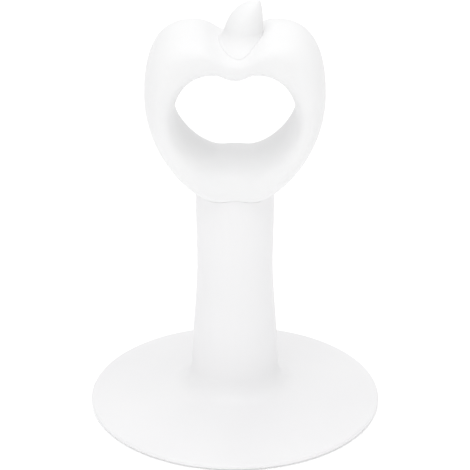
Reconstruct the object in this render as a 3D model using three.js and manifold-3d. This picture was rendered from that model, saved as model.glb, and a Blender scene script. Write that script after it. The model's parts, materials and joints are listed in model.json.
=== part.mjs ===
// Apple peeler corer that parks upright in its own weighted stand.
//
// The corer is a finger loop with the outline of an apple, and a coring tube hangs under it.
// The tube has teeth at its mouth and carries a swivelling peeler blade in a side window.
// It drops into a guard liner inside the stand's column, and the loop sits on the column's mouth.
//
// Frame: millimetres, +Z up, the column's axis on Z, the table at z = 0, the loop facing -Y.
import * as THREE from "three";
import { ParametricGeometry } from "three/addons/geometries/ParametricGeometry.js";
import { mergeVertices } from "three/addons/utils/BufferGeometryUtils.js";
import Module from "manifold-3d";

const wasm = await Module();
wasm.setup();

// ---------------------------------------------------------------- driving dimensions

const fit = 0.3; // clearance round a piece that drops into, or seats on, another
const slip = 0.1; // clearance of a pressed or running fit
const wall = 2.4; // moulded wall of the stand and of the loop
const seatHeight = 95; // underside of the loop above the table

const foot = { radius: 60, lift: 0.6, rim: 1.8, crownHeight: 9 };
const column = { rootFlare: 2.4, fillet: 8.1, waistBelowSeat: 29, neckFlare: 0.5 };
const plate = { thickness: 1.6, drainRadius: 3 };
const footRing = { fromRim: 4.5, width: 5, thickness: 1.5 };
const ballast = { width: 13.5, fromFlange: 2.9 };
const baseScrew = { count: 3, shank: 1.2, head: 2.8, post: 3, aboveTip: 2 };
const liner = { wall: 1, flange: 1.6, lip: 2.5, topBelowSeat: 17, room: 1.3 };
const padThickness = 3;

// The loop's outline, measured up from its underside: a dip, a lobe, the widest place, a lobe
// and a dip again. "pull" is how far each curve's handles reach.
const loop = { width: 73, height: 75, overhang: 2, coverDepth: 3.5 };
const squareness = { outside: 2.1, hole: 3.2 }; // of the loop's section, on its two faces
const outer = { lowDip: 0.15, lowLobe: 5.5, widestDown: 30, lobeIn: 18.2, topDip: 6 };
const outerPull = { low: [12.8, 22], top: [17, 10.2] };

// The band between the outline and the finger hole, at each of the same places.
const band = { lowDip: 18.4, lowLobe: 18.25, side: [12.1, -6.2], topLobe: [10.4, -17.1], topDip: 12.9 };
const holePull = { low: [7.5, 10.5], top: [10, 10.4] };

const coverScrew = { shank: 1.25, length: 10, head: 2.7, headHeight: 1.8, boss: 3.1 };
const coverScrewTurns = [0.155, 0.37]; // places round the right half of the loop, mirrored
const leaf = { root: 9, roundness: 0.95, flare: 1, flareTop: 3, peg: 2.5, pegLength: 6, y: -1.5 };
const leafLeft = [[-5.2, 0], [-4.6, 7], [-2, 16], [9.4, 18.2]]; // the leaf's edges, from the top dip
const leafRight = [[11.2, 0], [11.2, 7], [11.3, 16.5], [9.4, 18.2]];

const plug = { body: 10.5, belowLoop: 0.4, stub: 7.4, stubBelowHole: 5.55, spigotLength: 9.4 };
const groove = { width: 2.6, depth: 1.3 };
const key = { width: 4, reach: 1.3, aboveShoulder: 1.9 };
const tube = { radius: 10.5, wall: 0.8, teeth: 12, toothDepth: 3.6, tipGap: 0.4 };
const blade = { width: 12.4, thickness: 0.8, proud: 0.2, slit: 1.8, belowSpigot: 9, aboveTip: 19.5 };
const pin = { radius: 0.8, length: 5, fromTube: 1.9 };
const eye = { radius: 1.8, length: 3 };
const bracket = { thickness: 1.2, behindPin: 2.4 };
const coreSlot = { width: 8, drop: 2 };
const dowel = { radius: 1.5, overlap: 2.4 };

// ---------------------------------------------------------------- derived sizes and places

const linerInner = tube.radius + liner.room;
const linerOuter = linerInner + liner.wall;
const boreRadius = linerOuter + fit;
const flangeRadius = boreRadius + liner.lip;
const plugRadius = boreRadius - fit - slip;
const keyRadius = plugRadius + key.reach;

const waistRadius = boreRadius + wall;
const neckRadius = waistRadius + column.neckFlare;
const rootRadius = waistRadius + column.rootFlare;
const crownRadius = rootRadius + column.fillet;
const rimTop = foot.lift + foot.rim;
const crownSlope = (foot.crownHeight - rimTop) / (foot.radius - crownRadius);
const upperFace = (radius) => foot.crownHeight + (crownRadius - radius) * crownSlope;

const ringOuter = foot.radius - footRing.fromRim;
const ringInner = ringOuter - footRing.width;
const plateRadius = ringInner - wall - 2 * fit;
const plateTop = foot.lift + plate.thickness;
const cavityRadius = plateRadius + fit;
const cavityHeight = foot.crownHeight - wall;
const cavityEdge = plateTop + fit / 2; // the cavity's height at its edge, just over the plate
const cavityFall = (cavityHeight - cavityEdge) / (cavityRadius - crownRadius);

const ballastInner = flangeRadius + ballast.fromFlange;
const ballastOuter = ballastInner + ballast.width;
const ballastTop = cavityHeight - (ballastOuter - crownRadius) * cavityFall - fit;
const screwCircle = (ballastInner + ballastOuter) / 2;
const baseScrewLength = foot.crownHeight - foot.lift - baseScrew.aboveTip;
const postTop = upperFace(screwCircle + baseScrew.post) - wall / 4;

const linerFloor = plateTop + liner.flange;
const tubeTip = linerFloor + padThickness + tube.tipGap;
const plugTop = -plug.belowLoop; // heights from here on are from the loop's underside
const shoulder = plugTop - plug.body;
const keyTop = plugTop - 2 * fit;
const keyBottom = shoulder + key.aboveShoulder;
const stubTop = outer.lowDip + band.lowDip - plug.stubBelowHole;
const dowelHeight = stubTop / 2 + 1;
const dowelHalf = plug.stub + dowel.overlap;
const spigotEnd = shoulder - plug.spigotLength;
const rivetHeight = shoulder - plug.spigotLength / 2;

const tubeInner = tube.radius - tube.wall;
const tubeLength = seatHeight + shoulder - slip - tubeTip;
const spigotRadius = tubeInner - slip;
const bladeTop = spigotEnd - blade.belowSpigot;
const bladeLength = bladeTop + seatHeight - tubeTip - blade.aboveTip;
const bladeMiddle = bladeTop - bladeLength / 2;
const windowLength = bladeLength + 1;
const pivotY = pin.fromTube - tube.radius;

const loopDepth = 2 * (neckRadius + loop.overhang);
const seam = loopDepth / 2 - loop.coverDepth;
const headSeat = loopDepth / 2 - coverScrew.headHeight - 0.2;
const topDip = loop.height - outer.topDip;

// ---------------------------------------------------------------- making solids

function solid(geometry) {
  const bare = geometry.clone();
  bare.deleteAttribute("normal");
  bare.deleteAttribute("uv");
  const merged = mergeVertices(bare, 1e-4);
  return new wasm.Manifold(
    new wasm.Mesh({
      numProp: 3,
      vertProperties: merged.attributes.position.array,
      triVerts: new Uint32Array(merged.index.array),
    }),
  );
}

function geometryOf(made) {
  const mesh = made.getMesh();
  const geometry = new THREE.BufferGeometry();
  const places = new Float32Array(mesh.vertProperties);
  geometry.setAttribute("position", new THREE.BufferAttribute(places, 3));
  geometry.setIndex(new THREE.BufferAttribute(new Uint32Array(mesh.triVerts), 1));
  geometry.computeVertexNormals();
  return geometry;
}

// A closed profile of [radius, height] points turned about Z. The points run anticlockwise.
function turned(points, segments = 48) {
  const profile = points.map(([radius, height]) => new THREE.Vector2(radius, height));
  return solid(new THREE.LatheGeometry([...profile, profile[0]], segments).rotateX(Math.PI / 2));
}

function ring(innerRadius, outerRadius, bottom, top, segments = 48) {
  const corners = [[innerRadius, bottom], [outerRadius, bottom], [outerRadius, top], [innerRadius, top]];
  return turned(corners, segments);
}

// A round bar from one height to another on Z, then turned to lie on the named axis.
function bar(radius, from, to, axis = "z", segments = 20) {
  const geometry = new THREE.CylinderGeometry(radius, radius, to - from, segments);
  geometry.rotateX(Math.PI / 2).translate(0, 0, (from + to) / 2);
  if (axis === "x") geometry.rotateY(Math.PI / 2);
  if (axis === "y") geometry.rotateX(-Math.PI / 2);
  return solid(geometry);
}

function block(low, high) {
  const size = high.map((value, i) => value - low[i]);
  const middle = high.map((value, i) => (value + low[i]) / 2);
  return solid(new THREE.BoxGeometry(...size).translate(...middle));
}

function prism(shape, height, curveSegments = 12) {
  return solid(new THREE.ExtrudeGeometry(shape, { depth: height, bevelEnabled: false, curveSegments }));
}

// ---------------------------------------------------------------- the apple loop

const at = (x, z) => new THREE.Vector2(x, z);
const dipToDip = {
  outside: [
    at(0, outer.lowDip),
    at(outer.lowLobe, 0),
    at(loop.width / 2, loop.height - outer.widestDown),
    at(loop.width / 2 - outer.lobeIn, loop.height),
    at(0, topDip),
  ],
};
dipToDip.hole = [
  at(0, band.lowDip),
  at(0, band.lowLobe),
  at(-band.side[0], band.side[1]),
  at(-band.topLobe[0], band.topLobe[1]),
  at(0, -band.topDip),
].map((step, i) => step.add(dipToDip.outside[i]));

// The right half of an outline as four curves, from the low dip up to the top dip.
function halfOutline([low, lowLobe, widest, topLobe, top], pull) {
  const level = (from, to, height) => at((from.x + to.x) / 2, height);
  const beside = (point, x, z) => at(point.x + x, point.y + z);
  return [
    [low, level(low, lowLobe, low.y), level(low, lowLobe, lowLobe.y), lowLobe],
    [lowLobe, beside(lowLobe, pull.low[0], 0), beside(widest, 0, -pull.low[1]), widest],
    [widest, beside(widest, 0, pull.top[1]), beside(topLobe, pull.top[0], 0), topLobe],
    [topLobe, level(topLobe, top, topLobe.y), level(topLobe, top, top.y), top],
  ].map((points) => new THREE.CubicBezierCurve(...points));
}

const outerHalf = halfOutline(dipToDip.outside, outerPull);
const innerHalf = halfOutline(dipToDip.hole, holePull);

// A point on an outline. The turn runs from 0 at the low dip, up the right side, to 1.
function outlineAt(half, turn) {
  const mirrored = turn > 0.5;
  const along = (mirrored ? 1 - turn : turn) * 2 * half.length;
  const piece = Math.min(Math.floor(along), half.length - 1);
  const point = half[piece].getPoint(along - piece);
  if (mirrored) point.x = -point.x;
  return point;
}

const bandMiddle = (turn) => outlineAt(outerHalf, turn).lerp(outlineAt(innerHalf, turn), 0.5);

// The loop's surface: an oval section carried round between the two outlines. The section is
// rounder on the loop's outside and squarer where it lines the finger hole.
function loopSurface(inset) {
  return (turn, round, target) => {
    const middle = bandMiddle(turn);
    const across = outlineAt(outerHalf, turn).sub(middle);
    const cosine = Math.cos(2 * Math.PI * round);
    const sine = Math.sin(-2 * Math.PI * round);
    const power = 2 / (cosine > 0 ? squareness.outside : squareness.hole);
    const eased = (value) => Math.sign(value) * Math.abs(value) ** power;
    across.setLength((across.length() - inset) * Math.abs(eased(cosine)));
    if (cosine < 0) across.negate();
    target.set(middle.x + across.x, (loopDepth / 2 - inset) * eased(sine), middle.y + across.y);
  };
}

function loopSolid(inset, around, section) {
  return solid(new ParametricGeometry(loopSurface(inset), around, section));
}

const loopOutside = loopSolid(0, 56, 16);
const loopHollow = loopSolid(wall, 32, 8);
const loopSkin = loopOutside.subtract(loopHollow);
const loopRoom = loopSolid(-fit, 56, 16); // the space other pieces leave for the loop

const behind = (y) => block([-loop.width, y, -wall], [loop.width, loopDepth, loop.height + wall]);

const screwPlaces = coverScrewTurns.flatMap((turn) => [bandMiddle(turn), bandMiddle(1 - turn)]);

function eachScrew(made) {
  return screwPlaces.map(({ x, y: z }) => made.translate([x, 0, z])).reduce((all, one) => all.add(one));
}

function handleLoop() {
  const bosses = eachScrew(bar(coverScrew.boss, (wall - loopDepth) / 2, seam, "y", 14));
  const socket = bar(plug.stub + wall, wall / 2, outer.lowDip + band.lowDip - wall / 2, "z", 28);
  const pilots = eachScrew(bar(coverScrew.shank + slip, seam - coverScrew.length, seam + 1, "y", 12));
  const dowelHole = bar(dowel.radius + slip, -dowelHalf - fit, loopDepth, "y", 12);
  const pegHole = bar(leaf.peg + fit / 2, topDip - leaf.pegLength - 2, loop.height, "z", 16);
  return loopSkin
    .add(bosses.add(socket).intersect(loopOutside))
    .subtract(behind(seam))
    .subtract(pilots)
    .subtract(bar(plug.stub + 2 * slip, -wall, stubTop + fit, "z", 32))
    .subtract(dowelHole.translate([0, 0, dowelHeight]))
    .subtract(pegHole.translate([0, leaf.y, 0]));
}

function handleCover() {
  const pads = eachScrew(bar(coverScrew.boss + 0.5, seam, headSeat + 0.6, "y", 14));
  return loopSkin
    .add(pads.intersect(loopOutside))
    .intersect(behind(seam + slip))
    .subtract(eachScrew(bar(coverScrew.shank + fit, 0, loopDepth, "y", 12)))
    .subtract(eachScrew(bar(coverScrew.head + fit, headSeat, loopDepth, "y", 16)));
}

// A pan-head screw on +Y with its head's underside at y = 0 and its point at -Y.
function panScrew() {
  const { shank, length, head, headHeight } = coverScrew;
  const thread = [[0, -length], [shank, 0.8 - length], [shank, 0]];
  const cap = [[head, 0], [head, headHeight - 0.5], [head - 0.7, headHeight], [0, headHeight]];
  return turned([...thread, ...cap], 12).rotate([-90, 0, 0]);
}

// A plump pointed leaf between two edge curves. It flares where it meets the loop's top dip, its
// rounded root is trimmed to the loop, and a round peg under it holds it in.
function leafSolid() {
  const left = new THREE.CubicBezierCurve(...leafLeft.map((point) => at(...point)));
  const right = new THREE.CubicBezierCurve(...leafRight.map((point) => at(...point)));
  const rootShare = 0.3; // of the rings, how many are below the edge curves
  const surface = (round, rise, target) => {
    const turn = 2 * Math.PI * round;
    const buried = (Math.min(1, rise / rootShare) * Math.PI) / 2;
    const share = Math.sin((Math.PI / 2) * Math.max(0, (rise - rootShare) / (1 - rootShare)));
    const middle = left.getPoint(share).lerp(right.getPoint(share), 0.5);
    const half = right.getPoint(share).sub(middle);
    const height = middle.y - leaf.root * Math.cos(buried);
    const skirt = leaf.flare * Math.max(0, 1 - height / leaf.flareTop) ** 2;
    half.setLength((half.length() + skirt) * Math.sin(buried));
    target.set(
      middle.x + half.x * Math.cos(turn),
      half.length() * leaf.roundness * Math.sin(turn),
      height + half.y * Math.cos(turn),
    );
  };
  const body = solid(new ParametricGeometry(surface, 24, 16));
  const peg = bar(leaf.peg, -leaf.pegLength, 4, "z", 16);
  return body.subtract(loopRoom.translate([0, -leaf.y, -topDip])).add(peg);
}

// ---------------------------------------------------------------- the stand

function standProfile() {
  const mouth = seatHeight + outer.lowDip + band.lowDip / 2 - 1;
  const waistHeight = seatHeight - column.waistBelowSeat;
  const rimRound = foot.rim / 2;
  const grooveTop = footRing.thickness + slip / 2;
  const corner = upperFace(rootRadius);
  const root = corner + column.fillet;
  const low = (waistHeight - root) / 3;
  const high = column.waistBelowSeat / 4;
  const path = new THREE.Path();
  path.moveTo(foot.radius - rimRound, foot.lift);
  path.absarc(foot.radius - rimRound, foot.lift + rimRound, rimRound, -Math.PI / 2, Math.PI / 2);
  path.lineTo(crownRadius, foot.crownHeight);
  path.quadraticCurveTo(rootRadius, corner, rootRadius, root);
  const waist = [waistRadius, waistHeight];
  const neck = [neckRadius, seatHeight];
  path.bezierCurveTo(rootRadius - 0.3, root + low, waistRadius, waistHeight - low, ...waist);
  path.bezierCurveTo(waistRadius, waistHeight + high, neckRadius, seatHeight - 2 * high, ...neck);
  [
    [neckRadius, mouth],
    [boreRadius, mouth],
    [boreRadius, linerFloor + fit],
    [flangeRadius, linerFloor + fit],
    [flangeRadius, cavityHeight],
    [crownRadius, cavityHeight],
    [cavityRadius, cavityEdge],
    [cavityRadius, foot.lift],
    [ringInner - fit, foot.lift],
    [ringInner - fit, grooveTop],
    [ringOuter + fit, grooveTop],
    [ringOuter + fit, foot.lift],
  ].forEach((point) => path.lineTo(...point));
  return path.getPoints(4).map(({ x, y }) => [x, y]);
}

const screwAngles = Array.from({ length: baseScrew.count }, (_, i) => 90 + (360 / baseScrew.count) * i);

function eachPost(made) {
  return screwAngles
    .map((angle) => made.translate([screwCircle, 0, 0]).rotate([0, 0, angle]))
    .reduce((all, one) => all.add(one));
}

function standShell() {
  const posts = eachPost(bar(baseScrew.post, plateTop + slip, postTop, "z", 16));
  const pilots = eachPost(bar(baseScrew.shank + slip, 0, foot.lift + baseScrewLength + fit, "z", 12));
  const keyway = block(
    [-key.width / 2 - fit, 0, seatHeight + keyBottom - wall],
    [key.width / 2 + fit, keyRadius + fit, seatHeight + loop.height],
  );
  return turned(standProfile(), 44)
    .add(posts)
    .subtract(pilots)
    .subtract(keyway)
    .subtract(loopRoom.translate([0, 0, seatHeight]));
}

function countersunkScrew(spare = 0) {
  const { head, shank } = baseScrew;
  const cap = [[0, -spare], [head + spare, -spare], [head + spare, 0.2], [shank + spare, plate.thickness]];
  const thread = [[shank + spare, baseScrewLength - 0.8], [0, baseScrewLength]];
  return turned([...cap, ...thread], 12);
}

function basePlate() {
  return ring(plate.drainRadius, plateRadius, 0, plate.thickness).subtract(eachPost(countersunkScrew(fit)));
}

function ballastRing() {
  const thickness = ballastTop - plateTop;
  return ring(ballastInner, ballastOuter, 0, thickness, 36)
    .subtract(eachPost(bar(baseScrew.post + fit, -1, thickness + 1, "z", 16)));
}

function guardLiner() {
  const top = seatHeight - liner.topBelowSeat - plateTop;
  const flange = [[plate.drainRadius, 0], [flangeRadius, 0], [flangeRadius, liner.flange]];
  const outside = [[linerOuter, liner.flange], [linerOuter, top]];
  const inside = [[linerInner, top], [linerInner, liner.flange], [plate.drainRadius, liner.flange]];
  return turned([...flange, ...outside, ...inside], 40);
}

function toothPad() {
  const radius = linerInner - fit - slip;
  const corner = 2 * fit;
  const rim = [[radius, 0], [radius, padThickness - corner], [radius - corner, padThickness]];
  return turned([[plate.drainRadius, 0], ...rim, [plate.drainRadius, padThickness]], 32);
}

// ---------------------------------------------------------------- the coring tube and its blade

function neckPlug() {
  const grooveTop = (plugTop + shoulder + groove.width) / 2;
  const grooveLow = grooveTop - groove.width;
  const grooveFloor = plugRadius - groove.depth;
  const soft = 0.5; // the edges' chamfer
  const spigot = [[0, spigotEnd], [spigotRadius - soft, spigotEnd], [spigotRadius, spigotEnd + soft]];
  const under = [[spigotRadius, shoulder], [plugRadius - soft, shoulder], [plugRadius, shoulder + soft]];
  const below = [[plugRadius, grooveLow], [grooveFloor, grooveLow]];
  const above = [[grooveFloor, grooveTop], [plugRadius, grooveTop]];
  const over = [[plugRadius, plugTop - soft], [plugRadius - soft, plugTop], [plug.stub, plugTop]];
  const stub = [[plug.stub, stubTop - soft], [plug.stub - soft, stubTop], [0, stubTop]];
  const lug = block([-key.width / 2, grooveFloor - 2, keyBottom], [key.width / 2, keyRadius, keyTop])
    .subtract(ring(grooveFloor, keyRadius + 1, grooveLow, grooveTop, 32));
  return turned([...spigot, ...under, ...below, ...above, ...over, ...stub], 32)
    .add(lug)
    .subtract(bar(dowel.radius + slip, -keyRadius, keyRadius, "y", 12).translate([0, 0, dowelHeight]))
    .subtract(bar(dowel.radius + slip, -keyRadius, keyRadius, "x", 12).translate([0, 0, rivetHeight]));
}

// The seal stands a hair inside the bore's wall and stays clear of its groove's floor.
function sealRing() {
  const section = (groove.depth + fit) / 2 - slip;
  const middle = plugRadius - groove.depth + fit / 2 + section;
  return solid(new THREE.TorusGeometry(middle, section, 8, 28));
}

function corerTube() {
  const notch = new THREE.Shape();
  const halfPitch = (Math.PI * tube.radius) / tube.teeth - fit;
  notch.moveTo(-halfPitch, -1);
  notch.lineTo(halfPitch, -1);
  notch.lineTo(0, tube.toothDepth);
  const across = prism(notch, 3 * tube.radius).translate([0, 0, -1.5 * tube.radius]).rotate([90, 0, 0]);
  const turns = Array.from({ length: tube.teeth / 2 }, (_, i) => (360 / tube.teeth) * i);
  const bladeAt = bladeMiddle + seatHeight - tubeTip;
  const halfWindow = windowLength / 2;
  const windowEdge = blade.width / 2 + 1.2;
  const window = block(
    [-windowEdge, -tube.radius - 1, bladeAt - halfWindow],
    [windowEdge, -tubeInner / 2, bladeAt + halfWindow],
  );
  const pushSlot = block(
    [-coreSlot.width / 2, tubeInner / 2, bladeAt - coreSlot.drop - halfWindow],
    [coreSlot.width / 2, tube.radius + 1, bladeAt - coreSlot.drop + halfWindow],
  );
  const rivetHole = bar(dowel.radius + slip, -2 * tube.radius, 2 * tube.radius, "x", 12);
  const pipe = ring(tubeInner, tube.radius, 0, tubeLength);
  return turns
    .reduce((left, turn) => left.subtract(across.rotate([0, 0, turn])), pipe)
    .subtract(window)
    .subtract(pushSlot)
    .subtract(rivetHole.translate([0, 0, rivetHeight + seatHeight - tubeTip]));
}

// A dowel with a flat head at each end, lying on X.
function tubeRivet() {
  const reach = tube.radius + slip / 2;
  const { radius } = dowel;
  const half = [[0, reach + 0.5], [radius + 0.5, reach + 0.5], [radius + 0.9, reach], [radius, reach]];
  const mirrored = half.map(([r, height]) => [r, -height]).reverse();
  return turned([...half, ...mirrored].reverse(), 14).rotate([0, 90, 0]);
}

// The blade in its own frame: its pivot is on Z and its middle at z = 0, and it bows out to -Y.
function peelerBlade() {
  const bow = tube.radius + blade.proud;
  const halfAngle = Math.asin(blade.width / 2 / bow);
  const strip = new THREE.Shape();
  strip.absarc(0, 0, bow, -Math.PI / 2 - halfAngle, -Math.PI / 2 + halfAngle);
  strip.absarc(0, 0, bow - blade.thickness, -Math.PI / 2 + halfAngle, -Math.PI / 2 - halfAngle, true);
  const half = bladeLength / 2;
  const slitHalf = half - 2 * eye.length - 0.5;
  const eyes = [-half, half - eye.length].map((z) => bar(eye.radius, z, z + eye.length, "z", 16));
  const slit = block([-blade.slit / 2, -bow, -slitHalf], [blade.slit / 2, bow, slitHalf]);
  return prism(strip, bladeLength, 14)
    .translate([0, -pivotY, -half])
    .add(eyes[0])
    .add(eyes[1])
    .subtract(slit)
    .subtract(bar(pin.radius + slip, -half - 1, half + 1, "z", 12));
}

// A half-moon plate across the tube's wall that holds one of the blade's pins.
function bladeBracket() {
  const radius = tubeInner - slip;
  const halfAngle = Math.acos((-pivotY - bracket.behindPin) / radius);
  const moon = new THREE.Shape();
  moon.absarc(0, 0, radius, -Math.PI / 2 - halfAngle, -Math.PI / 2 + halfAngle);
  const hole = new THREE.Path();
  hole.absarc(0, pivotY, pin.radius + slip / 2, 0, 2 * Math.PI, true);
  moon.holes.push(hole);
  return prism(moon, bracket.thickness, 12);
}

// ---------------------------------------------------------------- materials

function finish(color, roughness, metalness = 0) {
  return new THREE.MeshStandardMaterial({ color, roughness, metalness });
}

const whiteShell = () => finish(0xf4f4f3, 0.42);
const whiteGrip = () => finish(0xf6f6f5, 0.48);
const whiteRubber = () => finish(0xe9e9e6, 0.75);
const naturalPlastic = () => finish(0xe6eaea, 0.35);
const bladeSteel = () => finish(0xc8ccd0, 0.22, 1);
const turnedSteel = () => finish(0x9fa4a8, 0.45, 1);

// ---------------------------------------------------------------- the assembly

function piece(name, made, material, place = [0, 0, 0]) {
  const mesh = new THREE.Mesh(geometryOf(made), material);
  mesh.name = name;
  mesh.position.set(...place);
  return mesh;
}

const stand = new THREE.Group();
stand.add(
  piece("stand_shell", standShell(), whiteShell()),
  piece("base_plate", basePlate(), whiteShell(), [0, 0, foot.lift]),
  piece("foot_ring", ring(ringInner, ringOuter, 0, footRing.thickness), whiteRubber()),
  piece("ballast_ring", ballastRing(), turnedSteel(), [0, 0, plateTop]),
  piece("guard_liner", guardLiner(), naturalPlastic(), [0, 0, plateTop]),
  piece("tooth_pad", toothPad(), whiteRubber(), [0, 0, linerFloor]),
);
screwAngles.forEach((angle, i) => {
  const turn = THREE.MathUtils.degToRad(angle);
  const place = [screwCircle * Math.cos(turn), screwCircle * Math.sin(turn), foot.lift];
  stand.add(piece(`base_screw_${i + 1}`, countersunkScrew(), bladeSteel(), place));
});

const corer = new THREE.Group();
corer.position.z = seatHeight;
const dowelBar = bar(dowel.radius, -dowelHalf, dowelHalf, "y", 12);
corer.add(
  piece("handle_loop", handleLoop(), whiteGrip()),
  piece("handle_cover", handleCover(), whiteGrip()),
  piece("leaf", leafSolid(), whiteGrip(), [0, leaf.y, topDip]),
  piece("neck_plug", neckPlug(), naturalPlastic()),
  piece("seal_ring", sealRing(), whiteRubber(), [0, 0, (plugTop + shoulder) / 2]),
  piece("retaining_dowel", dowelBar, bladeSteel(), [0, 0, dowelHeight]),
  piece("corer_tube", corerTube(), bladeSteel(), [0, 0, tubeTip - seatHeight]),
  piece("tube_rivet", tubeRivet(), bladeSteel(), [0, 0, rivetHeight]),
);
screwPlaces.forEach(({ x, y: z }, i) => {
  corer.add(piece(`cover_screw_${i + 1}`, panScrew(), bladeSteel(), [x, headSeat, z]));
});
[["lower", -1], ["upper", 1]].forEach(([name, side]) => {
  const faceZ = bladeMiddle + side * (windowLength / 2 + 0.2);
  const bracketZ = side > 0 ? faceZ : faceZ - bracket.thickness;
  const pinZ = bracketZ + bracket.thickness / 2 - side * (pin.length / 2 - bracket.thickness);
  const pinBar = bar(pin.radius, -pin.length / 2, pin.length / 2, "z", 12);
  corer.add(
    piece(`blade_bracket_${name}`, bladeBracket(), bladeSteel(), [0, 0, bracketZ]),
    piece(`blade_pin_${name}`, pinBar, bladeSteel(), [0, pivotY, pinZ]),
  );
});

const peeler = new THREE.Group();
peeler.position.set(0, pivotY, bladeMiddle);
peeler.add(piece("peeler_blade", peelerBlade(), bladeSteel()));
corer.add(peeler);

const peelerCorer = new THREE.Group();
peelerCorer.add(stand, corer);

export default peelerCorer;
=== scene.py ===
# %% [markdown]
# # An apple peeler corer standing in its holder
#
# The tool is a finger loop in the outline of an apple, with a coring tube under it that hides
# inside a column on a wide round foot. This notebook dresses the finished frame of that tool:
# every shape below takes its place from the frame, and nothing in the frame is moved.
# We go from the helpers, through the finishes, to the pieces, and end with light and camera.

import json
import math

import bmesh
import bpy
import numpy as np
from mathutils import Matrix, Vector


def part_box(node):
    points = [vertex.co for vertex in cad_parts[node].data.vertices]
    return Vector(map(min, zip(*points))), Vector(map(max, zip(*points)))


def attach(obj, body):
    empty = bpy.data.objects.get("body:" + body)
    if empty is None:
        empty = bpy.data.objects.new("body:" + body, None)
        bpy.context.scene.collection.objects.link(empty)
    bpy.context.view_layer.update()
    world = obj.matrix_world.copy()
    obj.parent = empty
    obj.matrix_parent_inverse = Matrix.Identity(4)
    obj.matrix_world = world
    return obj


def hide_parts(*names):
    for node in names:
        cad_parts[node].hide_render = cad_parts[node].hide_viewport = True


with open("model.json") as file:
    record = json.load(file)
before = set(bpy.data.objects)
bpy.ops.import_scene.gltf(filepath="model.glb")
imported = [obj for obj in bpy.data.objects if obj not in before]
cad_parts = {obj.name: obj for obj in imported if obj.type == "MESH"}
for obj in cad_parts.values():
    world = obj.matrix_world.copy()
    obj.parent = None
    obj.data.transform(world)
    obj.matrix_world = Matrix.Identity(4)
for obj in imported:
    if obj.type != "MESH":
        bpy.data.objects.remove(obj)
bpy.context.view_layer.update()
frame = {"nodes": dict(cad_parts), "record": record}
MM = 0.001

# %% [markdown]
# ## Where things are
#
# A moulded tool is drawn from a few heights. The neck plug's top is 13 mm above the underside of
# the loop, so its box tells us where the loop sits. The plate that closes the foot gives the
# height that the liner and the ballast rest on.

# %% Read the main heights from the frame
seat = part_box("neck_plug")[1].z - 13 * MM
plate_low, plate_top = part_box("base_plate")[0].z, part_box("base_plate")[1].z
tube_low, tube_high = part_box("corer_tube")[0].z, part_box("corer_tube")[1].z
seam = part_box("handle_loop")[1].y
joints = {joint["name"]: joint for joint in frame["record"]["behaviour"]["joints"]}
pivot = Vector(joints["blade_swivel"]["pos_m"])
print("loop sits at", round(seat, 4), "tube from", round(tube_low, 4), "to", round(tube_high, 4))

# %% [markdown]
# ## Small helpers for node trees
#
# Geometry Nodes and shader trees are both lists of nodes joined by links. One helper adds a node
# and fills its inputs, so that each tree below reads like a recipe. Inputs may be plain values or
# the output socket of another node.

# %% A helper that adds a node and wires its inputs


def add_node(tree, kind, inputs=None, **settings):
    node = tree.nodes.new(kind)
    for name, value in settings.items():
        setattr(node, name, value)
    for name, value in (inputs or {}).items():
        socket = node.inputs[name]
        if isinstance(value, bpy.types.NodeSocket):
            tree.links.new(value, socket)
        else:
            socket.default_value = value
    return node


def maths(tree, operation, first, second=0.0):
    return add_node(tree, "ShaderNodeMath", {0: first, 1: second}, operation=operation).outputs[0]


def new_tree(name, kind, inputs, outputs):
    tree = bpy.data.node_groups.new(name, kind)
    for label, socket, *default in inputs:
        made = tree.interface.new_socket(label, in_out="INPUT", socket_type="NodeSocket" + socket)
        if default:
            made.default_value = default[0]
    for label, socket in outputs:
        tree.interface.new_socket(label, in_out="OUTPUT", socket_type="NodeSocket" + socket)
    return tree, tree.nodes.new("NodeGroupInput").outputs, tree.nodes.new("NodeGroupOutput").inputs


def put_out(tree, result, values):
    for label, source in values.items():
        tree.links.new(source, result[label])
    return tree


print("node helpers ready")

# %% [markdown]
# ## Finishes shared by several materials
#
# A moulded surface is never perfectly even. It has a faint orange peel from the tool steel, slow
# changes of shade where the wall is thicker, and fine dust in the pores. These could be painted,
# but a procedural group is sharper at any distance and can be given other values in each
# material. The group puts out a colour, a roughness and a height.

# %% Noise and colour helpers, and what both groups put out
SKIN_OUTPUTS = [("Colour", "Color"), ("Roughness", "Float"), ("Height", "Float")]


def object_place(tree):
    return add_node(tree, "ShaderNodeTexCoord").outputs["Object"]


def noise(tree, place, scale, detail):
    inputs = {"Vector": place, "Scale": scale, "Detail": detail}
    return add_node(tree, "ShaderNodeTexNoise", inputs).outputs["Fac"]


def mix_colour(tree, share, first, second):
    mix = add_node(tree, "ShaderNodeMix", data_type="RGBA")
    for index, source in ((0, share), (6, first), (7, second)):
        tree.links.new(source, mix.inputs[index])
    return mix.outputs[2]


def weighted(tree, first, first_share, second):
    second_part = maths(tree, "MULTIPLY", second, 1 - first_share)
    return maths(tree, "ADD", maths(tree, "MULTIPLY", first, first_share), second_part)


def swung_roughness(tree, given, pattern):
    from_middle = maths(tree, "SUBTRACT", pattern, 0.5)
    swing = maths(tree, "MULTIPLY", from_middle, given["Roughness Spread"])
    return maths(tree, "ADD", given["Roughness"], swing)


print("both groups put out:", [label for label, _ in SKIN_OUTPUTS])

# %% Shader group: moulded skin


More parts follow.
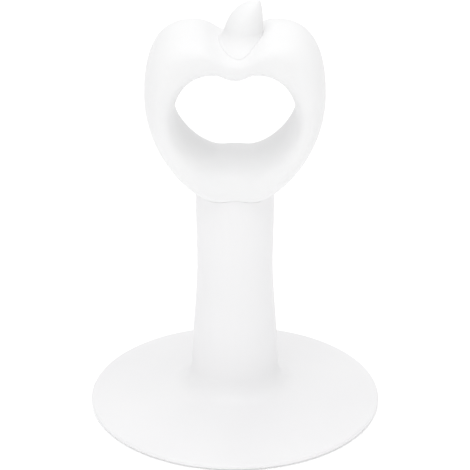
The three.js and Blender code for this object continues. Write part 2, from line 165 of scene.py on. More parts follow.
def build_moulded_skin():
    tree, given, result = new_tree(
        "Moulded skin",
        "ShaderNodeTree",
        [
            ("Colour", "Color", (0.8, 0.8, 0.8, 1)),
            ("Shade Colour", "Color", (0.7, 0.7, 0.7, 1)),
            ("Roughness", "Float", 0.4),
            ("Roughness Spread", "Float", 0.06),
            ("Grain Size", "Float", 900.0),
            ("Flow Size", "Float", 14.0),
        ],
        SKIN_OUTPUTS,
    )
    place = object_place(tree)
    flow = noise(tree, place, given["Flow Size"], 2.0)
    grain = noise(tree, place, given["Grain Size"], 3.0)
    pore_inputs = {"Vector": place, "Scale": given["Grain Size"]}
    pores = add_node(tree, "ShaderNodeTexVoronoi", pore_inputs).outputs["Distance"]
    flow_range = {"Value": flow, "From Min": 0.35, "From Max": 0.7, "To Min": 0.0, "To Max": 1.0}
    share = add_node(tree, "ShaderNodeMapRange", flow_range).outputs["Result"]
    made = {
        "Colour": mix_colour(tree, share, given["Colour"], given["Shade Colour"]),
        "Roughness": swung_roughness(tree, given, grain),
        "Height": weighted(tree, grain, 0.7, pores),
    }
    return put_out(tree, result, made)


moulded_skin = build_moulded_skin()
print("group:", moulded_skin.name, "with", len(moulded_skin.nodes), "nodes")

# %% [markdown]
# Steel that has been drawn, ground or turned carries fine parallel lines. They are a noise that is
# stretched along one direction. "Stretch" holds three scales, one for each axis: a small scale
# along the lines and a large one across them. The lines change the colour a little and the
# roughness rather more, and a slow cloud adds the marks that washing and handling leave.

# %% Shader group: drawn lines


def build_drawn_lines():
    tree, given, result = new_tree(
        "Drawn lines",
        "ShaderNodeTree",
        [
            ("Colour", "Color", (0.6, 0.6, 0.6, 1)),
            ("Line Colour", "Color", (0.4, 0.4, 0.4, 1)),
            ("Roughness", "Float", 0.25),
            ("Roughness Spread", "Float", 0.15),
            ("Stretch", "Vector", (40, 40, 4000)),
        ],
        SKIN_OUTPUTS,
    )
    place = object_place(tree)
    stretched = {"Vector": place, "Scale": given["Stretch"]}
    lines = noise(tree, add_node(tree, "ShaderNodeMapping", stretched).outputs[0], 1.0, 4.0)
    marks = noise(tree, place, 90.0, 3.0)
    share = maths(tree, "MULTIPLY", lines, 0.7)
    made = {
        "Colour": mix_colour(tree, share, given["Colour"], given["Line Colour"]),
        "Roughness": swung_roughness(tree, given, weighted(tree, lines, 0.65, marks)),
        "Height": lines,
    }
    return put_out(tree, result, made)


drawn_lines = build_drawn_lines()
print("group:", drawn_lines.name, "with", len(drawn_lines.nodes), "nodes")

# %% [markdown]
# Each material is one Principled shader fed by one of those groups. What is the same all over,
# such as the index of refraction, sits on the shader itself. The group's other values are named
# in each call after its inputs.

# %% Make a material from a group


def empty_material(name):
    material = bpy.data.materials.new(name)
    material.use_nodes = True
    material.node_tree.nodes.clear()
    return material, material.node_tree


def finish_from(group, name, bump, depth, metallic=0.0, ior=1.5, **values):
    material, tree = empty_material(name)
    labelled = {key.replace("_", " ").title(): value for key, value in values.items()}
    skin = add_node(tree, "ShaderNodeGroup", labelled, node_tree=group)
    relief_inputs = {"Strength": bump, "Distance": depth, "Height": skin.outputs["Height"]}
    relief = add_node(tree, "ShaderNodeBump", relief_inputs)
    shader_inputs = {
        "Base Color": skin.outputs["Colour"],
        "Roughness": skin.outputs["Roughness"],
        "Normal": relief.outputs["Normal"],
        "Metallic": metallic,
        "IOR": ior,
    }
    shader = add_node(tree, "ShaderNodeBsdfPrincipled", shader_inputs)
    add_node(tree, "ShaderNodeOutputMaterial", {"Surface": shader.outputs["BSDF"]})
    return material


print("a material can be made from a group")

# %% Mix the plastics and rubbers
white_stand = finish_from(
    moulded_skin, "White moulded stand", bump=0.25, depth=0.00003, ior=1.46,
    colour=(0.86, 0.858, 0.864, 1), shade_colour=(0.836, 0.833, 0.842, 1),
    roughness=0.46, roughness_spread=0.12, grain_size=1400.0, flow_size=16.0,
)
white_grip = finish_from(
    moulded_skin, "White soft-touch grip", bump=0.3, depth=0.000025, ior=1.42,
    colour=(0.87, 0.87, 0.872, 1), shade_colour=(0.846, 0.846, 0.85, 1),
    roughness=0.5, roughness_spread=0.14, grain_size=1900.0, flow_size=22.0,
)
silicone = finish_from(
    moulded_skin, "Off-white silicone", bump=0.5, depth=0.00004, ior=1.41,
    colour=(0.74, 0.74, 0.72, 1), shade_colour=(0.66, 0.66, 0.64, 1),
    roughness=0.72, roughness_spread=0.2, grain_size=1100.0, flow_size=40.0,
)
natural_plastic = finish_from(
    moulded_skin, "Natural polypropylene", bump=0.15, depth=0.00003, ior=1.49,
    colour=(0.72, 0.75, 0.75, 1), shade_colour=(0.62, 0.66, 0.67, 1),
    roughness=0.3, roughness_spread=0.12, grain_size=700.0, flow_size=60.0,
)
print("plastics and rubbers:", [m.name for m in (white_stand, white_grip, silicone, natural_plastic)])

# %% Mix the steels
tube_steel = finish_from(
    drawn_lines, "Brushed stainless tube", bump=0.3, depth=0.00001, metallic=1.0,
    colour=(0.63, 0.64, 0.65, 1), line_colour=(0.47, 0.48, 0.49, 1),
    roughness=0.27, roughness_spread=0.22, stretch=(60, 60, 5200),
)
blade_steel = finish_from(
    drawn_lines, "Ground blade steel", bump=0.3, depth=0.00001, metallic=1.0,
    colour=(0.66, 0.67, 0.68, 1), line_colour=(0.5, 0.51, 0.53, 1),
    roughness=0.2, roughness_spread=0.18, stretch=(5200, 300, 80),
)
screw_steel = finish_from(
    drawn_lines, "Plated screw steel", bump=0.2, depth=0.00001, metallic=1.0,
    colour=(0.6, 0.6, 0.61, 1), line_colour=(0.42, 0.42, 0.43, 1),
    roughness=0.32, roughness_spread=0.2, stretch=(1500, 1500, 1500),
)
ballast_steel = finish_from(
    drawn_lines, "Turned ballast steel", bump=0.4, depth=0.00002, metallic=1.0,
    colour=(0.36, 0.36, 0.37, 1), line_colour=(0.22, 0.22, 0.23, 1),
    roughness=0.45, roughness_spread=0.25, stretch=(900, 900, 200),
)
print("steels:", [m.name for m in (tube_steel, blade_steel, screw_steel, ballast_steel)])

# %% [markdown]
# ## From a node tree to a plain mesh
#
# A piece starts as an object that holds only its guide points. A Geometry Nodes modifier turns
# them into the surface, and the result is frozen into a plain mesh. Freezing matters: exporters
# and other programs can't run the tree. A surface that closes on itself starts with doubled
# points along its join and may be inside out, so the points are merged and the faces are turned
# outwards.

# %% Freeze a modified object, and put a finished piece in place
MERGE = 0.000002  # points nearer than this are one point


def stand_in_scene(name, data):
    made = bpy.data.objects.new(name, data)
    bpy.context.scene.collection.objects.link(made)
    return made


def mesh_object(name, points, faces=()):
    mesh = bpy.data.meshes.new(name)
    mesh.from_pydata([tuple(point) for point in points], [], list(faces))
    return stand_in_scene(name, mesh)


def run_tree(guide, tree, values, name):
    modifier = guide.modifiers.new("shape", "NODES")
    modifier.node_group = tree
    sockets = [item for item in tree.interface.items_tree if item.in_out == "INPUT"]
    identifiers = {socket.name: socket.identifier for socket in sockets}
    for label, value in values.items():
        modifier[identifiers[label]] = value
    return freeze(guide, name)


def freeze(source, name):
    bpy.context.view_layer.update()
    ready = source.evaluated_get(bpy.context.evaluated_depsgraph_get())
    mesh = bpy.data.meshes.new_from_object(ready)
    mesh.name = name
    bpy.data.objects.remove(source, do_unlink=True)
    tidy_mesh(mesh)
    return stand_in_scene(name, mesh)


def tidy_mesh(mesh):
    work = bmesh.new()
    work.from_mesh(mesh)
    bmesh.ops.remove_doubles(work, verts=work.verts, dist=MERGE)
    bmesh.ops.dissolve_degenerate(work, edges=work.edges, dist=MERGE)
    bmesh.ops.recalc_face_normals(work, faces=work.faces)
    if work.calc_volume(signed=True) < 0:
        bmesh.ops.reverse_faces(work, faces=work.faces)
    work.to_mesh(mesh)
    work.free()


def cut(piece, tool, operation="DIFFERENCE", keep_tool=False):
    modifier = piece.modifiers.new("cut", "BOOLEAN")
    modifier.operation = operation
    modifier.solver = "EXACT"
    modifier.object = tool
    name = piece.name
    piece.name = name + "_uncut"
    made = freeze(piece, name)
    if not keep_tool:
        bpy.data.objects.remove(tool, do_unlink=True)
    return made


def settle(piece, body, material, slot, *nodes, smooth_angle=32):
    piece.data.materials.clear()
    piece.data.materials.append(material)
    piece.data.shade_smooth()
    sharp = math.radians(smooth_angle)
    work = bmesh.new()
    work.from_mesh(piece.data)
    for edge in work.edges:
        edge.smooth = len(edge.link_faces) == 2 and edge.calc_face_angle(0.0) < sharp
    loose = [e for e in work.edges if len(e.link_faces) != 2]
    work.to_mesh(piece.data)
    work.free()
    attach(piece, body)
    if nodes:
        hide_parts(*nodes)
    print(f"{piece.name}: {len(piece.data.polygons)} faces, open edges {len(loose)}")
    return piece


print("mesh helpers ready")

# %% [markdown]
# ## Turned pieces
#
# The stand, the liner, the plug and the pads are round, so each is a flat profile turned about
# the column's axis, as on a lathe. Blender has a Screw modifier and Spin for this. A node tree is
# chosen because one tree can also draw the teeth of the coring tube: a profile point's second
# number says how far it follows a zigzag of a given count and depth.

# %% Steps that several trees share


def position(tree):
    return add_node(tree, "GeometryNodeInputPosition").outputs[0]


def split(tree, vector):
    return add_node(tree, "ShaderNodeSeparateXYZ", {"Vector": vector}).outputs


def unit_grid(tree, long_steps, short_steps):
    size = {
        "Size X": 1.0,
        "Size Y": 1.0,
        "Vertices X": maths(tree, "ADD", long_steps, 1.0),
        "Vertices Y": maths(tree, "ADD", short_steps, 1.0),
    }
    return add_node(tree, "GeometryNodeMeshGrid", size).outputs["Mesh"]


def counted(tree, coordinate, steps):
    return maths(tree, "ROUND", maths(tree, "MULTIPLY", maths(tree, "ADD", coordinate, 0.5), steps))


def point_of(tree, geometry, index):
    inputs = {"Geometry": geometry, "Index": index}
    kind = {"data_type": "FLOAT_VECTOR", "domain": "POINT"}
    sample = add_node(tree, "GeometryNodeSampleIndex", inputs, **kind)
    tree.links.new(position(tree), sample.inputs["Value"])
    return sample.outputs["Value"]


def move_and_merge(tree, mesh, place):
    moved = add_node(tree, "GeometryNodeSetPosition", {"Geometry": mesh, "Position": place})
    merge = {"Geometry": moved.outputs["Geometry"], "Distance": MERGE}
    return add_node(tree, "GeometryNodeMergeByDistance", merge).outputs["Geometry"]


def dress(tree, given, geometry):
    real = add_node(tree, "GeometryNodeRealizeInstances", {"Geometry": geometry})
    finish = {"Geometry": real.outputs["Geometry"], "Material": given["Finish"]}
    return add_node(tree, "GeometryNodeSetMaterial", finish).outputs["Geometry"]


print("tree steps ready")

# %% Geometry tree: turned solid


def build_turned_solid():
    tree, given, result = new_tree(
        "Turned solid",
        "GeometryNodeTree",
        [
            ("Profile", "Geometry"),
            ("Steps", "Int", 192),
            ("Points", "Int", 8),
            ("Teeth", "Int", 1),
            ("Tooth Depth", "Float", 0.0),
            ("Finish", "Material"),
        ],
        [("Solid", "Geometry")],
    )
    points = given["Points"]
    grid = unit_grid(tree, given["Steps"], points)
    where = split(tree, position(tree))
    turn = maths(tree, "ADD", where["X"], 0.5)
    index = maths(tree, "MODULO", counted(tree, where["Y"], points), points)
    point = split(tree, point_of(tree, given["Profile"], index))
    angle = maths(tree, "MULTIPLY", turn, 2 * math.pi)
    tooth = maths(tree, "PINGPONG", maths(tree, "MULTIPLY", turn, given["Teeth"]), 0.5)
    bite = maths(tree, "MULTIPLY", maths(tree, "MULTIPLY", tooth, 2.0), given["Tooth Depth"])
    lift = maths(tree, "MULTIPLY", bite, point["Y"])
    turned_point = {
        "X": maths(tree, "MULTIPLY", point["X"], maths(tree, "COSINE", angle)),
        "Y": maths(tree, "MULTIPLY", point["X"], maths(tree, "SINE", angle)),
        "Z": maths(tree, "ADD", point["Z"], lift),
    }
    place = add_node(tree, "ShaderNodeCombineXYZ", turned_point).outputs[0]
    solid = dress(tree, given, move_and_merge(tree, grid, place))
    return put_out(tree, result, {"Solid": solid})


turned_solid = build_turned_solid()
print("tree:", turned_solid.name, "with", len(turned_solid.nodes), "nodes")

# %% [markdown]
# A profile is a closed list of radius and height in millimetres. Sharp corners on a moulded piece
# look wrong because they catch no light, so a helper gives the corners small arcs before the
# profile is turned, apart from those it is told to skip.

# %% Round a profile's corners and turn it


def rounded(points, radius, skip=()):
    made = []
    corners = np.array(points, float)
    for i, corner in enumerate(corners):
        one, two = corners[i - 1] - corner, corners[(i + 1) % len(corners)] - corner
        one_length, two_length = np.linalg.norm(one), np.linalg.norm(two)
        reach = min(radius, 0.45 * one_length, 0.45 * two_length)
        if i in skip or corner[0] < 1e-6 or reach < 1e-3:
            made.append(tuple(corner))
            continue
        start, end = corner + one / one_length * reach, corner + two / two_length * reach
        for t in (0, 0.25, 0.5, 0.75, 1):
            made.append(tuple((1 - t) ** 2 * start + 2 * t * (1 - t) * corner + t * t * end))
    return made


def turned(name, profile, base=0.0, steps=192, teeth=1, tooth_depth=0.0, toothed=()):
    points = [(r * MM, float(i in toothed), base + h * MM) for i, (r, h) in enumerate(profile)]
    values = {"Steps": steps, "Points": len(points), "Teeth": teeth, "Tooth Depth": tooth_depth * MM}
    return run_tree(mesh_object(name + "_guide", points), turned_solid, values, name)


def bezier(a, b, c, d, count):
    a, b, c, d = (np.array(p, float) for p in (a, b, c, d))
    t = np.linspace(0, 1, count)[:, None]
    return (1 - t) ** 3 * a + 3 * (1 - t) ** 2 * t * b + 3 * (1 - t) * t * t * c + t**3 * d


print("lathe ready")

# %% [markdown]
# ## The apple loop
#
# The loop has two outlines: the apple's outside and the edge of the finger opening. Between them
# the section is a superellipse, a shape between an oval and a rounded box. It is nearly an oval
# on the outside, where the loop is plump, and squarer at the opening, where the fingers bear on a
# broad face. Sculpting it would be slow to keep even, so the outlines are drawn as Bezier halves
# and mirrored, and a tree spans the section between them.

# %% Draw the two outlines
PER_CURVE = 26  # stations along each of an outline's four curves


def outline(low, low_lobe, widest, top_lobe, top, low_pull, top_pull):
    (low_x, low_z), (wide_x, wide_z), (top_x, top_z) = low_lobe, widest, top_lobe
    pulled = [
        ((0, low), (low_x / 2, low), (low_x / 2, low_z), low_lobe),
        (low_lobe, (low_x + low_pull[0], low_z), (wide_x, wide_z - low_pull[1]), widest),
        (widest, (wide_x, wide_z + top_pull[1]), (top_x + top_pull[0], top_z), top_lobe),
        (top_lobe, (top_x / 2, top_z), (top_x / 2, top), (0, top)),
    ]
    halves = [bezier(*points, PER_CURVE + 1) for points in pulled]
    right = np.vstack([half[:-1] for half in halves] + [halves[-1][-1:]])
    left = right[-2:0:-1] * (-1, 1)
    return np.vstack([right, left])


outside = outline(0.15, (5.5, 0), (36.5, 45), (18.3, 75), 69, (12.8, 22), (17, 10.2))
opening = outline(18.55, (5.5, 18.25), (24.4, 38.8), (7.9, 57.9), 56.1, (7.5, 10.5), (10, 10.4))
print("outline of", len(outside), "stations, apple width", round(np.ptp(outside[:, 0]), 1), "mm")

# %% [markdown]
# The tree takes a guide object whose points are the two outlines, one after the other, and then
# the section. A grid is wrapped round: its long way walks the stations, its short way walks the
# section. A section point's first number is its share of the way from the middle to the outer
# outline, and its second is its depth.

# %% Geometry tree: band between two rails


def build_band_between_rails():
    tree, given, result = new_tree(
        "Band between rails",
        "GeometryNodeTree",
        [
            ("Guide", "Geometry"),
            ("Stations", "Int", 100),
            ("Section Points", "Int", 32),
            ("Grow", "Float", 0.0),
            ("Closed Round", "Bool", True),
            ("Depth Follows Width", "Float", 0.0),
            ("Finish", "Material"),
        ],
        [("Band", "Geometry")],
    )
    stations, points = given["Stations"], given["Section Points"]
    is_closed = {"Switch": given["Closed Round"]}
    closed = add_node(tree, "GeometryNodeSwitch", is_closed, input_type="INT")
    tree.links.new(maths(tree, "SUBTRACT", stations, 1.0), closed.inputs["False"])
    tree.links.new(stations, closed.inputs["True"])
    steps = closed.outputs["Output"]
    grid = unit_grid(tree, steps, points)
    where = split(tree, position(tree))
    station = maths(tree, "MODULO", counted(tree, where["X"], steps), stations)
    around = maths(tree, "MODULO", counted(tree, where["Y"], points), points)
    section = maths(tree, "ADD", around, maths(tree, "MULTIPLY", stations, 2.0))

    def vector(operation, first, second=None, scale=None):
        node = add_node(tree, "ShaderNodeVectorMath", {0: first}, operation=operation)
        if second is not None:
            tree.links.new(second, node.inputs[1])
        if scale is not None:
            tree.links.new(scale, node.inputs["Scale"])
        return node.outputs["Value" if operation == "LENGTH" else "Vector"]

    guide = given["Guide"]
    outer_rail = point_of(tree, guide, station)
    inner_rail = point_of(tree, guide, maths(tree, "ADD", station, stations))
    share = split(tree, point_of(tree, guide, section))
    half_of = add_node(tree, "ShaderNodeValue").outputs[0]
    half_of.default_value = 0.5
    middle = vector("SCALE", vector("ADD", outer_rail, inner_rail), scale=half_of)
    half = vector("SCALE", vector("SUBTRACT", outer_rail, inner_rail), scale=half_of)
    length = vector("LENGTH", half)
    stretch = maths(tree, "ADD", 1.0, maths(tree, "DIVIDE", given["Grow"], length))
    across = vector("SCALE", half, scale=maths(tree, "MULTIPLY", share["X"], stretch))
    follows = given["Depth Follows Width"]
    by_width = maths(tree, "MULTIPLY", follows, length)
    depth_scale = maths(tree, "ADD", maths(tree, "SUBTRACT", 1.0, follows), by_width)
    grown = maths(tree, "MULTIPLY", maths(tree, "SIGN", share["Y"]), given["Grow"])
    depth = maths(tree, "ADD", maths(tree, "MULTIPLY", share["Y"], depth_scale), grown)
    deep = add_node(tree, "ShaderNodeCombineXYZ", {"Y": depth}).outputs[0]
    place = vector("ADD", vector("ADD", middle, across), deep)
    return put_out(tree, result, {"Band": dress(tree, given, move_and_merge(tree, grid, place))})


band_between_rails = build_band_between_rails()
print("tree:", band_between_rails.name, "with", len(band_between_rails.nodes), "nodes")

# %% [markdown]
# The loop is moulded in two: the front and walls in one, and a cover at the back. Each takes the
# part of the superellipse on its own side of the seam. The edge at the seam gets a small radius,
# as a moulding has, so that the joint shows as a fine soft line.

# %% Section of the loop on one side of the seam
HALF_DEPTH = -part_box("handle_loop")[0].y
HALF_BAND = 8.5 * MM  # a usual half thickness between the outlines, for even spacing
SQUARE_OUTSIDE, SQUARE_OPENING = 2.1, 3.2


def superellipse(count=720):
    angle = np.linspace(0, 2 * math.pi, count, endpoint=False)
    power = 2 / np.where(np.cos(angle) > 0, SQUARE_OUTSIDE, SQUARE_OPENING)
    eased = lambda v: np.sign(v) * np.abs(v) ** power
    return np.column_stack([eased(np.cos(angle)), HALF_DEPTH * eased(-np.sin(angle))])


def evenly(points, count):
    steps = np.linalg.norm(np.diff(points * (HALF_BAND, 1), axis=0), axis=1)
    lengths = np.concatenate([[0], np.cumsum(steps)])
    wanted = np.linspace(0, lengths[-1], count)
    return np.column_stack([np.interp(wanted, lengths, points[:, i]) for i in (0, 1)])


def side_section(limit, front, count):
    edge = 0.35 * MM  # the radius at the seam
    ring = superellipse()
    side = -1 if front else 1
    keep = ring[:, 1] * side >= limit * side + edge
    start = next(i for i in range(len(ring)) if keep[i] and not keep[i - 1])
    arc = evenly(np.roll(ring, -start, axis=0)[: keep.sum()], count)

    def bend(end):
        lip = np.array([end[0] - math.copysign(edge / HALF_BAND, end[0]), limit])
        knee = np.array([end[0], limit])
        return [0.25 * end + 0.5 * knee + 0.25 * lip, lip]

    away, back = bend(arc[-1]), bend(arc[0])[::-1]
    flat = np.linspace(away[-1], back[0], 8)[1:-1]
    return np.vstack([arc, away, flat, back])


def band(name, section, rails=(outside, opening), lift=seat, y=0.0, grow=0.0, closed=True, follows=0.0):
    rail_points = [(x * MM, y, lift + z * MM) for rail in rails for x, z in rail]
    section_points = [(share, deep, 0.0) for share, deep in section]
    guide = mesh_object(name + "_guide", rail_points + section_points)
    values = {
        "Stations": len(rails[0]),
        "Section Points": len(section),
        "Grow": grow,
        "Closed Round": closed,
        "Depth Follows Width": follows,
    }
    return run_tree(guide, band_between_rails, values, name)


loop_front = band("apple_loop_front", side_section(seam, True, 52))
loop_cover = band("apple_loop_cover", side_section(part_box("handle_cover")[0].y, False, 30))
full_ring = superellipse()
room_section = evenly(np.vstack([full_ring, full_ring[:1]]), 57)[:-1]
loop_room = band("loop_room", room_section, grow=0.06 * MM)
print("loop front in mm:", [round(side / MM, 1) for side in loop_front.dimensions])

# %% [markdown]
# ## The leaf
#
# The leaf is a plump little fin that leans to one side. It uses the same tree: its two edges are
# the rails, the rails meet at the tip, and the section's depth follows the width so that the leaf
# thins as it narrows. Near the loop a skirt widens it, so that it grows out of the loop softly.
# Its rounded root is trimmed by a slightly enlarged copy of the loop.

# %% Draw and seat the leaf
dip = seat + 69 * MM
leaf_y = -1.5 * MM
leaf_root, leaf_skirt, skirt_top = 9, 3.0, 5.5
LEAF_ROUNDNESS = 0.95
FINE = 400  # steps along each leaf edge, from which the rings are picked
leaf_left = bezier((-5.2, 0), (-4.6, 7), (-2, 16), (9.4, 18.2), FINE + 1)
leaf_right = bezier((11.2, 0), (11.2, 7), (11.3, 16.5), (9.4, 18.2), FINE + 1)


def leaf_edges(buried_rings=18, open_rings=54):
    quarter = math.pi / 2
    lift = np.concatenate([np.zeros(buried_rings), np.sin(np.linspace(0, quarter, open_rings))])
    buried = np.concatenate([np.linspace(0, quarter, buried_rings), np.full(open_rings, quarter)])
    pick = np.rint(lift * FINE).astype(int)
    left, right = leaf_left[pick], leaf_right[pick]
    middle, half = (left + right) / 2, (right - left) / 2
    middle = middle - np.column_stack([np.zeros(len(pick)), leaf_root * np.cos(buried)])
    skirt = leaf_skirt * np.maximum(0, 1 - middle[:, 1] / skirt_top) ** 2
    length = np.linalg.norm(half, axis=1)
    grown = half * ((length + skirt) / np.maximum(length, 1e-6) * np.sin(buried))[:, None]
    keep = np.concatenate([[True], np.any(np.diff(middle, axis=0) != 0, axis=1)])
    return (middle + grown)[keep], (middle - grown)[keep]


leaf_turn = np.linspace(0, 2 * math.pi, 64, endpoint=False)
leaf_section = np.column_stack([np.cos(leaf_turn), -LEAF_ROUNDNESS * np.sin(leaf_turn)])
leaf = band("leaf_fin", leaf_section, leaf_edges(), lift=dip, y=leaf_y, closed=False, follows=1.0)
leaf = cut(leaf, loop_room, keep_tool=True)
settle(leaf, "corer", white_grip, "grip_white", "leaf")

# %% [markdown]
# ## The stand
#
# The profile starts under the rim, rounds it, climbs the shallow cone, sweeps up a fillet into
# the column, narrows to a waist and swells again at the neck. Then it comes down inside, through
# the bore and the hollow of the foot. The mouth is trimmed by the enlarged loop, so the loop sits
# in a saddle of its own shape.

# %% Draw the stand's profile
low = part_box("stand_shell")[0].z / MM
foot_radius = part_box("stand_shell")[1].x / MM
wall, rim_round, crown_height, fillet_size = 2.4, 0.9, 9, 8.1
bore, waist_radius, neck_radius, root_radius = 13.1, 15.5, 16, 17.9
neck_length = 29
crown = root_radius + fillet_size
slope = (crown_height - low - 2 * rim_round) / (foot_radius - crown)
corner_height = crown_height + (crown - root_radius) * slope
root = corner_height + fillet_size
seat_mm, waist_height = seat / MM, seat / MM - neck_length
rim_edge = foot_radius - rim_round
rim_turn = np.linspace(-math.pi / 2, math.pi / 2, 13)
rim_height = low + rim_round + rim_round * np.sin(rim_turn)
rim = np.column_stack([rim_edge + rim_round * np.cos(rim_turn), rim_height])
cone_radius = np.linspace(rim_edge, crown, 10)[1:-1]
cone = np.column_stack([cone_radius, crown_height + (crown - cone_radius) * slope])
t = np.linspace(0, 1, 24)[:, None]
corner = (root_radius, corner_height)
fillet = (1 - t) ** 2 * (crown, crown_height) + 2 * t * (1 - t) * corner + t**2 * (root_radius, root)
low_flare, high_flare = (waist_height - root) / 3, neck_length / 4
waist_handles = (root_radius - 0.3, root + low_flare), (waist_radius, waist_height - low_flare)
neck_handles = (waist_radius, waist_height + high_flare), (neck_radius, seat_mm - 2 * high_flare)
waist = bezier((root_radius, root), *waist_handles, (waist_radius, waist_height), 28)[1:]
neck = bezier((waist_radius, waist_height), *neck_handles, (neck_radius, seat_mm), 18)[1:]
print("waist at", round(waist_height, 1), "mm, neck", 2 * neck_radius, "mm thick")

# %% Draw its inside and turn it
mouth = seat_mm + 8.6  # above the saddle's highest point, so that the loop's room trims it
collar, collar_height = 15.6, 4.1
roof, recess = crown_height - wall, 47.8
ring_in, ring_out, ring_roof = 50.2, 55.8, 1.55
cavity_edge = plate_top / MM + 0.15
inside = [
    (neck_radius, mouth), (bore, mouth), (bore, collar_height), (collar, collar_height),
    (collar, roof), (crown, roof), (recess, cavity_edge), (recess, low),
    (ring_in, low), (ring_in, ring_roof), (ring_out, ring_roof), (ring_out, low),
]
stand_profile = [tuple(point) for part in (rim, cone, fillet, waist, neck) for point in part] + inside
stand = turned("stand_column_and_foot", stand_profile, steps=224)
print("stand profile of", len(stand_profile), "points, foot", foot_radius * 2, "mm across")

# %% [markdown]
# Inside the mouth there is a slot that keeps the tool from turning. Both the saddle and the slot
# are cut with a Boolean, the saddle by the enlarged loop and the slot by a plain block. The exact
# solver is chosen because it keeps a clean edge where curved surfaces meet.

# %% Cut the saddle and the key slot


def block(name, low_corner, high_corner):
    work = bmesh.new()
    bmesh.ops.create_cube(work, size=1.0)
    for v in work.verts:
        v.co = [low_corner[i] if v.co[i] < 0 else high_corner[i] for i in range(3)]
    mesh = bpy.data.meshes.new(name)
    work.to_mesh(mesh)
    work.free()
    return stand_in_scene(name, mesh)


stand = cut(stand, loop_room, keep_tool=True)
slot_half, slot_reach, slot_depth = 2.3 * MM, 14.3 * MM, 11.4 * MM
slot_low, slot_high = (-slot_half, 0, seat - slot_depth), (slot_half, slot_reach, seat + 20 * MM)
stand = cut(stand, block("slot_room", slot_low, slot_high))
settle(stand, "stand", white_stand, "stand_white", "stand_shell")
bpy.data.objects.remove(loop_room, do_unlink=True)

# %% [markdown]
# ## Screws, placed by a tree
#
# A screw repeats, so it is modelled once and a tree puts a copy at every point of a guide object.
# The points come from the frame's own screws. Realize Instances then turns the copies into one
# real mesh, because instances would be lost in other programs.

# %% Geometry tree: a copy at every point


def build_copies_at_points():
    tree, given, result = new_tree(
        "Copies at points",
        "GeometryNodeTree",
        [
            ("Places", "Geometry"),
            ("Pattern", "Object"),
            ("Turn Seed", "Int", 3),
            ("Axis", "Vector", (0, 0, 1)),
            ("Finish", "Material"),
        ],
        [("Copies", "Geometry")],
    )
    pattern = add_node(tree, "GeometryNodeObjectInfo", {"Object": given["Pattern"]})
    seed = {"Seed": given["Turn Seed"]}
    chance = add_node(tree, "FunctionNodeRandomValue", seed, data_type="FLOAT")
    chance.inputs[2].default_value, chance.inputs[3].default_value = 0.0, 2 * math.pi
    turn = {"Axis": given["Axis"], "Angle": chance.outputs[1]}
    swing = add_node(tree, "FunctionNodeAxisAngleToRotation", turn)
    placed = {
        "Points": given["Places"],
        "Instance": pattern.outputs["Geometry"],
        "Rotation": swing.outputs["Rotation"],
    }
    copies = add_node(tree, "GeometryNodeInstanceOnPoints", placed)
    return put_out(tree, result, {"Copies": dress(tree, given, copies.outputs["Instances"])})


copies_at_points = build_copies_at_points()
print("tree:", copies_at_points.name, "with", len(copies_at_points.nodes), "nodes")

# %% A helper that runs the tree


def copies_of(name, pattern, places, **values):
    guide = mesh_object(name + "_guide", places)
    made = run_tree(guide, copies_at_points, {"Pattern": pattern, **values}, name)
    bpy.data.objects.remove(pattern, do_unlink=True)
    return made


print("copies can be placed")

# %% [markdown]
# Both kinds of screw have a cross recess. It is a tapered four-armed cutter taken out of the
# head. The cover screws have a domed pan head, and the foot's screws are countersunk and face
# down, flush with the base plate.

# %% Model one screw of each kind


def turn_mesh(piece, to_axis):
    for v in piece.data.vertices:
        x, y, z = v.co
        v.co = {"+y": (x, z, -y), "-z": (x, -y, -z)}[to_axis]
    piece.data.update()
    return piece


def cross_cutter(name, width, reach, top, depth):
    pieces = []
    for along, (x, y) in enumerate([(reach, width), (width, reach)]):
        pieces.append(block(f"{name}_{along}", (-x, -y, top - depth), (x, y, top + 0.001)))
    for piece in pieces:
        for v in piece.data.vertices:
            if v.co.z < top:
                v.co.x, v.co.y = v.co.x * 0.55, v.co.y * 0.55
    return cut(pieces[0], pieces[1], "UNION")


pan_top, cross_depth = 1.8, 1.1 * MM
pan_profile = [
    (0, -10), (0.35, -9.8), (1.25, -8.8), (1.25, 0), (2.7, 0),
    (2.7, 0.7), (2.45, 1.3), (1.9, 1.62), (1.1, 1.78), (0, pan_top),
]
pan_cross = cross_cutter("pan_cross", 0.3 * MM, 1.45 * MM, pan_top * MM, cross_depth)
pan_screw = cut(turned("pan_screw", pan_profile, steps=32), pan_cross)
pan_screw = turn_mesh(pan_screw, "+y")
flat_profile = [(0, -6.4), (0.3, -6.2), (1.2, -5.6), (1.2, -1.6), (2.8, -0.2), (2.8, 0), (0, 0)]
flat_cross = cross_cutter("flat_cross", 0.32 * MM, 1.5 * MM, 0, cross_depth)
flat_screw = cut(turned("flat_screw", flat_profile, steps=32), flat_cross)
flat_screw = turn_mesh(flat_screw, "-z")
print("screw faces:", len(pan_screw.data.polygons), len(flat_screw.data.polygons))

# %% Place the screws on their bodies


def centre_of(node):
    lowest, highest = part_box(node)
    return (lowest + highest) / 2


def screw_set(name, pattern, places, axis, body, *nodes):
    tidy_mesh(pattern.data)
    made = copies_of(name, pattern, places, **{"Axis": axis, "Turn Seed": 5})
    return settle(made, body, screw_steel, "blade_steel", *nodes)


cover_nodes = [f"cover_screw_{i}" for i in range(1, 5)]
base_nodes = [f"base_screw_{i}" for i in range(1, 4)]
head_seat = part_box(cover_nodes[0])[1].y - pan_top * MM
cover_places = [(centre_of(n).x, head_seat, centre_of(n).z) for n in cover_nodes]
base_places = [(centre_of(n).x, centre_of(n).y, plate_low) for n in base_nodes]
screw_set("cover_screws", pan_screw, cover_places, (0, 1, 0), "corer", *cover_nodes)
screw_set("base_screws", flat_screw, base_places, (0, 0, 1), "stand", *base_nodes)

# %% [markdown]
# The cover needs a round recess for each screw head and the loop's front needs a socket for the
# plug. Each is a turned cutter.

